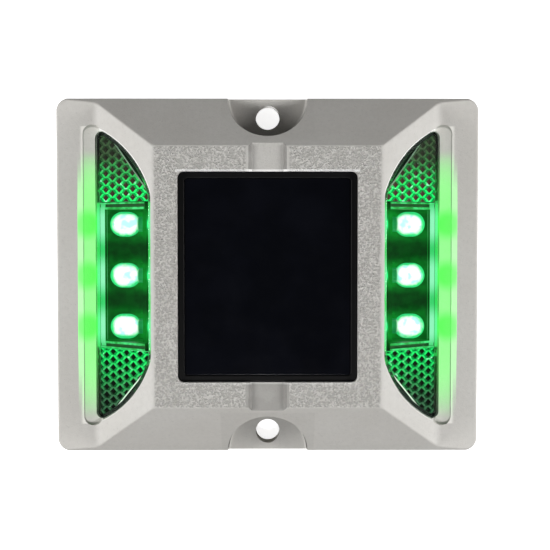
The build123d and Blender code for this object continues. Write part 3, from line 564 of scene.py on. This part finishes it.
def bead_material():
    """The thin bead along the prisms' straight edge, with a dim painted glow; on the south ones a painted
    highlight runs along it.
    """
    t = Tree("prism_bead")
    patch = t.between(t.noise(2.4, 2.0), 0.35, 0.65)
    thin = t.mix(patch, (0.025, 0.042, 0.028), (0.09, 0.12, 0.09))
    highlight_streak = t.product(
        t.between(t.y, -40.2, -38.6), t.between(t.y, -27.5, -28.5), t.between(patch, -1.0, 0.6, 0.4, 1.0),
    )
    colour = t.mix(highlight_streak, thin, (0.92, 0.95, 0.88))
    t.surface(
        Base_Color=(0.2, 0.25, 0.2), Roughness=0.2, Specular_IOR_Level=0.6,
        Emission_Color=colour, Emission_Strength=1.0, Normal=t.bump(t.noise(0.8), 0.02, 0.4),
    )
    return t.mat


PRISM_COLUMN = 2.14    # from one column of prisms to the next
PRISM_PITCH = 2.33     # from one prism to the next in a column
PRISM_MOUTH = (0.92, 0.98)
PRISM_START = 0.35     # from a plate's inner edge to a column of prisms
# Depths under a plate's top: of the prisms, of the ledge beyond them and of the sheet's underside.
RIM_DEPTH, VALLEY_DEPTH, PIT_DEPTH = 0.05, 0.42, 0.72
LEDGE_DEPTH = 1.0
SHEET_DEPTH = 1.5
PLATE_DROP = 1.9       # a prism plate's thickness, measured straight down
CHORDS = {             # the straight edge where the prisms end, at each end of a lens
    "north": (Vector((46.9, 41.6)), Vector((36.2, 27.1))),
    "south": (Vector((46.3, 40.9)), Vector((36.0, 28.2))),
}
BEAD_WIDTH = 0.34
LEDGE_STEP = 0.06      # width of the wall from the bead down to the ledge


def prism_cell(bm, place, height):
    """One prism: a dark pit inside a raised diamond, on a six-sided foot."""
    cx, cy = place
    across, along = PRISM_COLUMN / 3, PRISM_PITCH / 2
    mouth_x, mouth_y = PRISM_MOUTH

    def corner(dx, dy, depth):
        return bm.verts.new((cx + dx, cy + dy, height(cx + dx) - depth))

    foot_plan = [
        (2 * across, 0), (across, along), (-across, along),
        (-2 * across, 0), (-across, -along), (across, -along),
    ]
    mouth_plan = [(mouth_x, 0), (0, mouth_y), (-mouth_x, 0), (0, -mouth_y)]
    foot = [corner(x, y, VALLEY_DEPTH) for x, y in foot_plan]
    mouth = [corner(x, y, RIM_DEPTH) for x, y in mouth_plan]
    pit = corner(0, 0, PIT_DEPTH)
    right, top, left, bottom = mouth
    walls = [
        (foot[0], foot[1], top, right), (foot[1], foot[2], top), (foot[2], foot[3], left, top),
        (foot[3], foot[4], bottom, left), (foot[4], foot[5], bottom), (foot[5], foot[0], right, bottom),
    ]
    for corners in walls:
        bm.faces.new(corners)
    for a, b in zip(mouth, mouth[1:] + mouth[:1]):
        bm.faces.new((a, b, pit)).material_index = 1


def sink_ledge(bm, side, end, height):
    """Turns what lies beyond the prisms' straight edge into a bead and a sunk, smooth ledge."""
    chord = CHORDS["north" if end > 0 else "south"]
    start, stop = [Vector((side * p.x, end * p.y)) for p in chord]
    along = (stop - start).normalized()
    outward = Vector((along.y, -along.x))
    if outward.dot(Vector((-side, end))) < 0:
        outward = -outward

    def beyond(co):
        return (Vector((co.x, co.y)) - start).dot(outward)

    for offset in (0.0, BEAD_WIDTH, BEAD_WIDTH + LEDGE_STEP):
        point = start + outward * offset
        bmesh.ops.bisect_plane(
            bm, geom=bm.verts[:] + bm.edges[:] + bm.faces[:],
            plane_co=(point.x, point.y, 0.0), plane_no=(outward.x, outward.y, 0.0),
        )
    for face in bm.faces:
        gap = beyond(face.calc_center_median())
        if gap > BEAD_WIDTH:
            face.material_index = 2
        elif gap > 0:
            face.material_index = 3
    for v in bm.verts:
        gap = beyond(v.co)
        if gap > BEAD_WIDTH + LEDGE_STEP / 2:
            v.co.z = height(v.co.x) - LEDGE_DEPTH
        elif gap > -0.001:
            v.co.z = height(v.co.x) - RIM_DEPTH


def prism_sheet(node, materials):
    """The moulded prisms of one reflector plate, cut to the plate's own outline."""
    low, high = box_mm(node)
    side = 1 if low[0] > 0 else -1
    end = 1 if low[1] > 0 else -1
    inner, outer = (low[0], high[0]) if side > 0 else (high[0], low[0])
    fall = (high[2] - low[2] - PLATE_DROP) / abs(outer - inner)

    def height(x):
        return high[2] - fall * abs(x - inner) - 0.02

    bm = bmesh.new()
    start = abs(inner) + PRISM_START - 2 * PRISM_COLUMN
    for i in range(int(abs(outer - inner) / PRISM_COLUMN) + 5):
        x = side * (start + i * PRISM_COLUMN)
        for j in range(int((high[1] - low[1]) / PRISM_PITCH) + 5):
            y = low[1] - 1.5 * PRISM_PITCH + (j + 0.5 * (i % 2)) * PRISM_PITCH
            prism_cell(bm, (x, y), height)
    bmesh.ops.remove_doubles(bm, verts=bm.verts, dist=0.01)
    sink_ledge(bm, side, end, height)
    border = [e for e in bm.edges if e.is_boundary]
    skirt = bmesh.ops.extrude_edge_only(bm, edges=border)
    lowered = [v for v in skirt["geom"] if isinstance(v, bmesh.types.BMVert)]
    for v in lowered:
        v.co.z = height(v.co.x) - SHEET_DEPTH
    rim = [e for e in bm.edges if e.is_boundary]
    bmesh.ops.contextual_create(bm, geom=rim)
    bmesh.ops.recalc_face_normals(bm, faces=bm.faces)
    bmesh.ops.scale(bm, vec=(MM, MM, MM), verts=bm.verts)
    mesh = bpy.data.meshes.new(f"{node}_prisms")
    bm.to_mesh(mesh)
    bm.free()
    for material in materials:
        mesh.materials.append(material)
    sheet = bpy.data.objects.new(f"{node}_prisms", mesh)
    bpy.context.collection.objects.link(sheet)
    trim = sheet.modifiers.new("trim", "BOOLEAN")
    trim.operation = "INTERSECT"
    trim.solver = "EXACT"
    trim.object = NODES[node]
    bake_modifiers(sheet)
    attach(sheet, "stud")
    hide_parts(node)


def bake_modifiers(piece):
    """Turns a piece's modifiers into its mesh."""
    depsgraph = bpy.context.evaluated_depsgraph_get()
    mesh = bpy.data.meshes.new_from_object(piece.evaluated_get(depsgraph), depsgraph=depsgraph)
    piece.modifiers.clear()
    piece.data = mesh


def build_lamps():
    materials = [
        prism_material("prism_ridge", False), prism_material("prism_pit", True),
        ledge_material(), bead_material(),
    ]
    for side in SIDES:
        for end in ("north", "south"):
            prism_sheet(f"reflector_{end}_{side}", materials)
    paint(holder_material(), *side_names("led_holder"))
    paint(lens_material(), *side_names("lens"))
    paint(lens_seal_material(), *side_names("lens_seal"))
    led = led_material()
    for place in ("south", "middle", "north"):
        paint(led, *side_names(f"led_{place}"))


def build_spring():
    """The button's spring, as a piece of its own that rides with the stud."""
    spring = bpy.data.objects.new("button_spring_coil", NODES["button_spring"].data.copy())
    bpy.context.collection.objects.link(spring)
    spring.matrix_world = NODES["button_spring"].matrix_world.copy()
    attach(spring, "stud")
    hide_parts("button_spring")
    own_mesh(spring)


# ---------------------------------------------------------------- studio
FLOOR_GAP = 0.05       # how far the floor lies under the stud, so that the two faces don't meet


def lamp(name, place, aim, size, watts):
    """A soft rectangular white light; places and sizes are in millimetres."""
    data = bpy.data.lights.new(name, "AREA")
    data.shape = "RECTANGLE"
    data.size, data.size_y = size[0] * MM, size[1] * MM
    data.energy = watts
    light = bpy.data.objects.new(name, data)
    light.location = [c * MM for c in place]
    direction = Vector([(b - a) * MM for a, b in zip(place, aim)])
    light.rotation_euler = direction.to_track_quat("-Z", "Y").to_euler()
    bpy.context.collection.objects.link(light)


def floor_material():
    """A floor that looks bright, throws little light back at the stud, and isn't there from below."""
    t = Tree("pale_floor")
    seen = t.surface(
        Base_Color=(0.93, 0.93, 0.93), Roughness=0.9, Specular_IOR_Level=0.1,
        Emission_Color=(1.0, 1.0, 1.0), Emission_Strength=0.80,
    )
    unseen = t.nt.nodes.new("ShaderNodeBsdfDiffuse")
    unseen.inputs["Color"].default_value = (0.10, 0.10, 0.10, 1.0)
    path = t.nt.nodes.new("ShaderNodeLightPath")
    either = t.nt.nodes.new("ShaderNodeMixShader")
    t.link(path.outputs["Is Camera Ray"], either.inputs[0])
    t.link(unseen.outputs[0], either.inputs[1])
    t.link(seen, either.inputs[2])
    # The floor lets light through and shows nothing from below, so the underside can be lit and seen.
    open_below = t.nt.nodes.new("ShaderNodeMixShader")
    gone = t.math("MAXIMUM", t.geometry.outputs["Backfacing"], path.outputs["Is Shadow Ray"])
    t.link(gone, open_below.inputs[0])
    t.link(either.outputs[0], open_below.inputs[1])
    t.link(t.nt.nodes.new("ShaderNodeBsdfTransparent").outputs[0], open_below.inputs[2])
    return t.finish(open_below.outputs[0])


def build_floor():
    floor_mesh = bpy.data.meshes.new("floor")
    bm = bmesh.new()
    bmesh.ops.create_grid(bm, x_segments=8, y_segments=8, size=1.5)
    bm.to_mesh(floor_mesh)
    bm.free()
    floor = bpy.data.objects.new("floor", floor_mesh)
    floor.location.z = -FLOOR_GAP * MM
    bpy.context.collection.objects.link(floor)
    floor_mesh.materials.append(floor_material())


def build_world():
    """A sky that is white to the camera and dim to the object."""
    world = bpy.data.worlds.new("studio")
    bpy.context.scene.world = world
    world.use_nodes = True
    nodes = world.node_tree.nodes
    nodes["Background"].inputs["Color"].default_value = (0.98, 0.99, 1.0, 1.0)
    ray = nodes.new("ShaderNodeLightPath")
    dim = nodes.new("ShaderNodeMapRange")
    dim.inputs["To Min"].default_value = 0.07     # what lights the object
    dim.inputs["To Max"].default_value = 1.00     # what the camera sees
    world.node_tree.links.new(ray.outputs["Is Camera Ray"], dim.inputs["Value"])
    world.node_tree.links.new(dim.outputs["Result"], nodes["Background"].inputs["Strength"])


def build_lights():
    middle = (0, 0, 10)
    lamp("west_softbox", (-560, 10, 240), middle, (260, 160), 2.9)
    lamp("east_softbox", (560, 10, 240), middle, (260, 160), 2.9)
    lamp("south_key", (0, -340, 560), middle, (90, 70), 1.5)
    lamp("under_light", (-160, -220, -480), middle, (400, 300), 3.0)


def build_camera():
    """A camera above the stud, a little to its north, that looks down at it."""
    camera = bpy.data.objects.new("camera", bpy.data.cameras.new("camera"))
    bpy.context.collection.objects.link(camera)
    camera.data.sensor_width = 36.0
    camera.data.lens = 75.4
    camera.data.clip_start = 0.01
    place, aim = Vector((0.0, 12.5, 344.0)) * MM, Vector((2.2, -0.2, 0.0)) * MM
    camera.location = place
    look = aim - place
    camera.rotation_euler = (math.atan2(look.y, -look.z), -math.atan2(look.x, -look.z), 0.0)
    bpy.context.scene.camera = camera
    bpy.context.scene.view_settings.view_transform = "Standard"


paint(housing_material(), "housing")
paint(cover_material(), "solar_cover")
paint(panel_seal_material(), "panel_seal")
paint_plain_parts()
build_lamps()
build_spring()
build_floor()
build_world()
build_lights()
build_camera()
